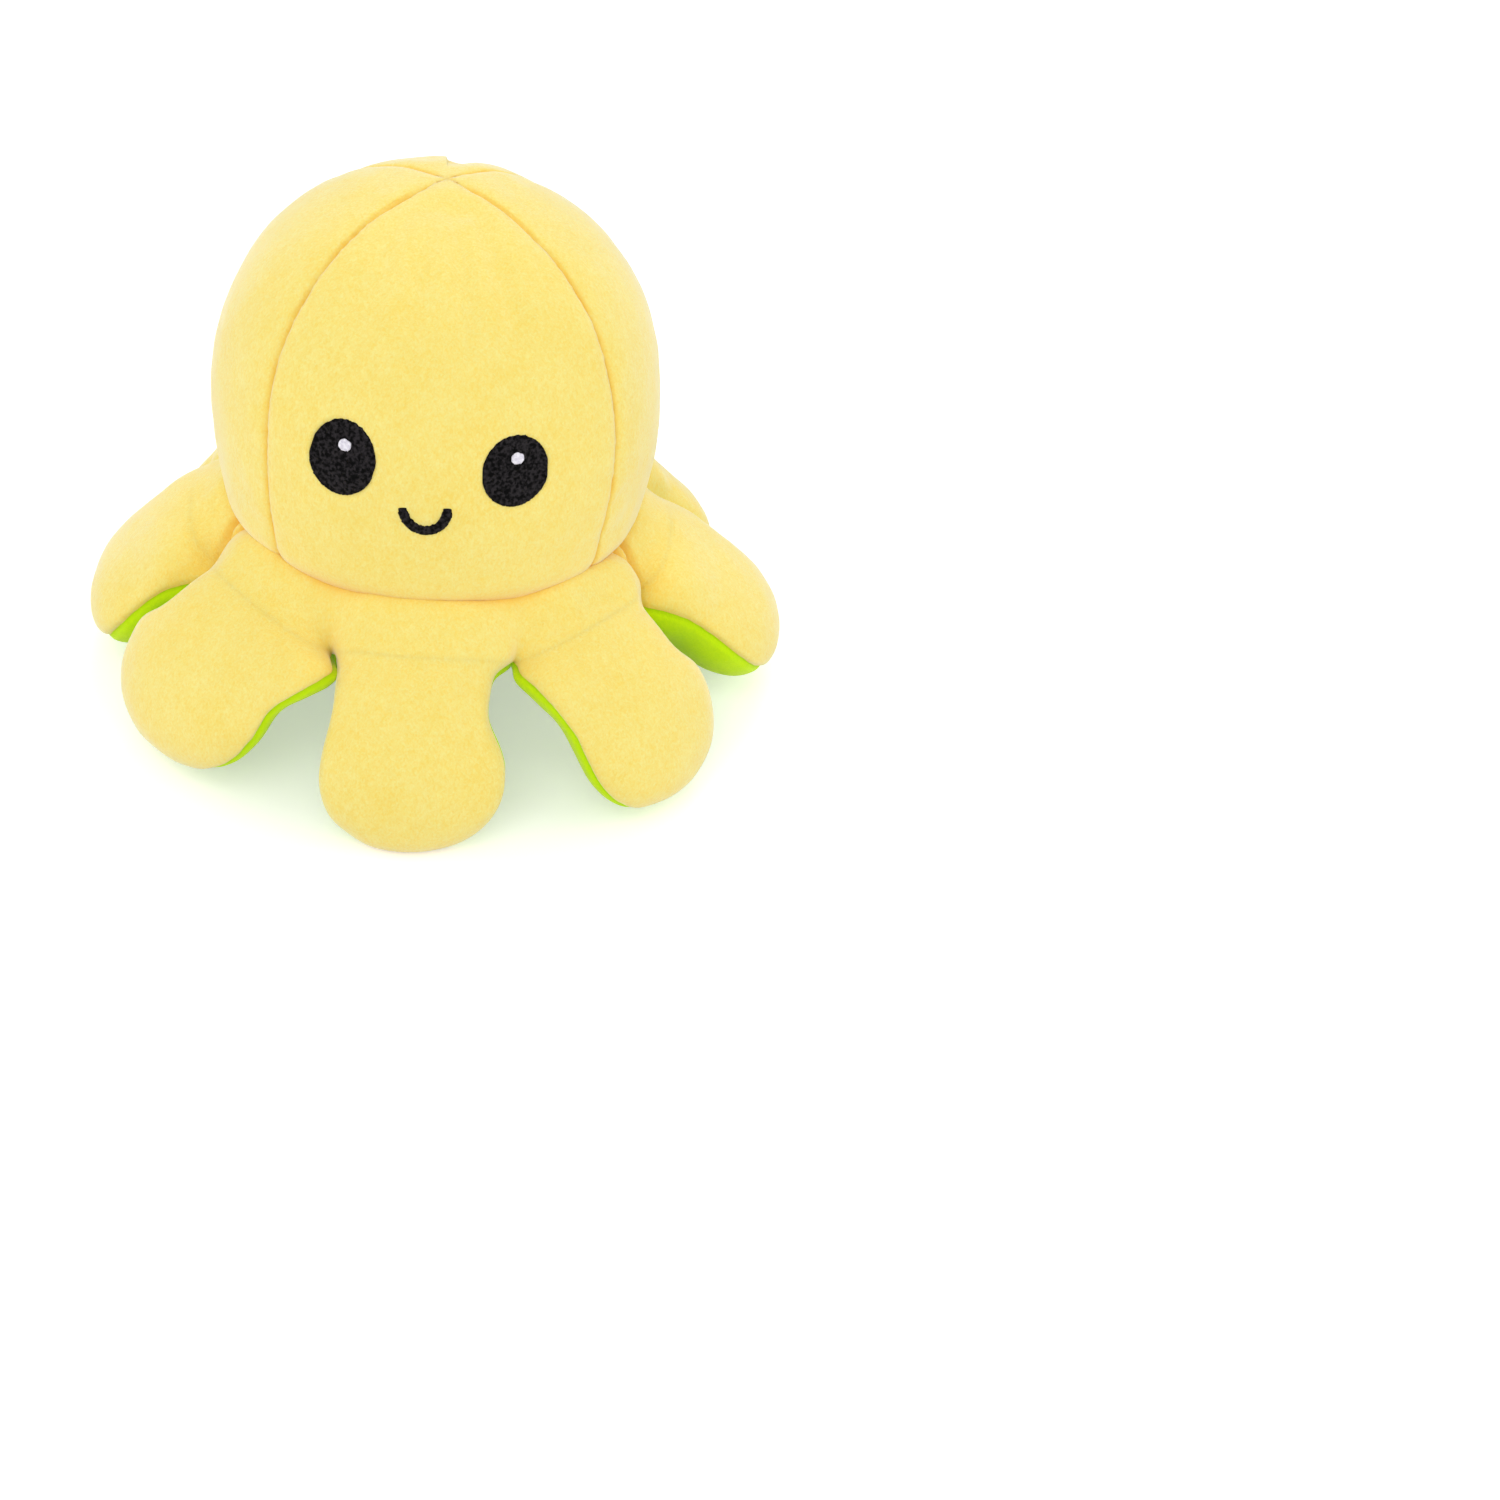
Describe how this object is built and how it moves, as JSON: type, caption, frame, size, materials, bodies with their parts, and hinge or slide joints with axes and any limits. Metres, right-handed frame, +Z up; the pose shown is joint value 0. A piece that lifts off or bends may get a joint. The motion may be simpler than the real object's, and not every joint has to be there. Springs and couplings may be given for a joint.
{
  "type": "plush octopus",
  "caption": "Reversible plush octopus with a round stuffed head of four gores, stitched smiling face and a skirt of stubby tentacles, with a second skin folded up inside",
  "frame": {"origin": "on the surface that the tentacle tips stand on, under the middle of the toy's footprint", "axes": "+Z up, +X to the right of someone looking at the face, the face looks along -Y"},
  "size_m": [0.211, 0.1998, 0.1635],
  "materials": {
    "yellow_plush": "matte",
    "green_plush": "matte",
    "stuffing": "matte",
    "black_thread": "satin",
    "white_thread": "satin"
  },
  "bodies": {
    "body": {"head_front_panel": "yellow_plush", "head_right_panel": "yellow_plush", "head_back_panel": "yellow_plush", "head_left_panel": "yellow_plush", "head_filling": "stuffing", "inner_head_front_panel": "green_plush", "inner_head_right_panel": "green_plush", "inner_head_back_panel": "green_plush", "inner_head_left_panel": "green_plush", "face_mouth": "black_thread", "face_left_eye": "black_thread", "face_right_eye": "black_thread", "face_left_glint": "white_thread", "face_right_glint": "white_thread", "inner_face_mouth": "black_thread", "inner_face_left_eye": "black_thread", "inner_face_right_eye": "black_thread", "inner_face_left_glint": "white_thread", "inner_face_right_glint": "white_thread", "skirt_top": "yellow_plush", "skirt_underside": "green_plush", "skirt_filling": "stuffing"},
    "front_tentacle": {"front_tentacle_top": "yellow_plush", "front_tentacle_underside": "green_plush", "front_tentacle_filling": "stuffing"},
    "front_right_tentacle": {"front_right_tentacle_top": "yellow_plush", "front_right_tentacle_underside": "green_plush", "front_right_tentacle_filling": "stuffing"},
    "right_tentacle": {"right_tentacle_top": "yellow_plush", "right_tentacle_underside": "green_plush", "right_tentacle_filling": "stuffing"},
    "back_right_tentacle": {"back_right_tentacle_top": "yellow_plush", "back_right_tentacle_underside": "green_plush", "back_right_tentacle_filling": "stuffing"},
    "back_tentacle": {"back_tentacle_top": "yellow_plush", "back_tentacle_underside": "green_plush", "back_tentacle_filling": "stuffing"},
    "back_left_tentacle": {"back_left_tentacle_top": "yellow_plush", "back_left_tentacle_underside": "green_plush", "back_left_tentacle_filling": "stuffing"},
    "left_tentacle": {"left_tentacle_top": "yellow_plush", "left_tentacle_underside": "green_plush", "left_tentacle_filling": "stuffing"},
    "front_left_tentacle": {"front_left_tentacle_top": "yellow_plush", "front_left_tentacle_underside": "green_plush", "front_left_tentacle_filling": "stuffing"}
  },
  "joints": [
    {"name": "front_bend", "type": "hinge", "parent": "body", "child": "front_tentacle", "pos_m": [-0.00494, -0.06691, 0.04676], "axis": [-0.9997, 0.0262, 0], "range_deg": [-20, 50], "stiffness_Nm_per_rad": 0.15, "springref_deg": -2.86},
    {"name": "front_right_bend", "type": "hinge", "parent": "body", "child": "front_right_tentacle", "pos_m": [0.04493, -0.04585, 0.04661], "axis": [-0.6756, -0.7373, 0], "range_deg": [-20, 50], "stiffness_Nm_per_rad": 0.15, "springref_deg": -2.86},
    {"name": "right_bend", "type": "hinge", "parent": "body", "child": "right_tentacle", "pos_m": [0.06293, -0.00057, 0.0453], "axis": [0.0174, -0.9998, 0], "range_deg": [-20, 50], "stiffness_Nm_per_rad": 0.15, "springref_deg": -2.86},
    {"name": "back_right_bend", "type": "hinge", "parent": "body", "child": "back_right_tentacle", "pos_m": [0.04434, 0.04422, 0.04272], "axis": [0.6947, -0.7193, 0], "range_deg": [-20, 50], "stiffness_Nm_per_rad": 0.15, "springref_deg": -2.86},
    {"name": "back_bend", "type": "hinge", "parent": "body", "child": "back_tentacle", "pos_m": [-0.00094, 0.06379, 0.04115], "axis": [0.9994, -0.0349, 0], "range_deg": [-20, 50], "stiffness_Nm_per_rad": 0.15, "springref_deg": -2.86},
    {"name": "back_left_bend", "type": "hinge", "parent": "body", "child": "back_left_tentacle", "pos_m": [-0.04794, 0.04622, 0.04255], "axis": [0.7314, 0.682, 0], "range_deg": [-20, 50], "stiffness_Nm_per_rad": 0.15, "springref_deg": -2.86},
    {"name": "left_bend", "type": "hinge", "parent": "body", "child": "left_tentacle", "pos_m": [-0.06867, 0.00285, 0.04515], "axis": [0.0698, 0.9976, 0], "range_deg": [-20, 50], "stiffness_Nm_per_rad": 0.15, "springref_deg": -2.86},
    {"name": "front_left_bend", "type": "hinge", "parent": "body", "child": "front_left_tentacle", "pos_m": [-0.05435, -0.04239, 0.04656], "axis": [-0.6225, 0.7826, 0], "range_deg": [-20, 50], "stiffness_Nm_per_rad": 0.15, "springref_deg": -2.86}
  ]
}
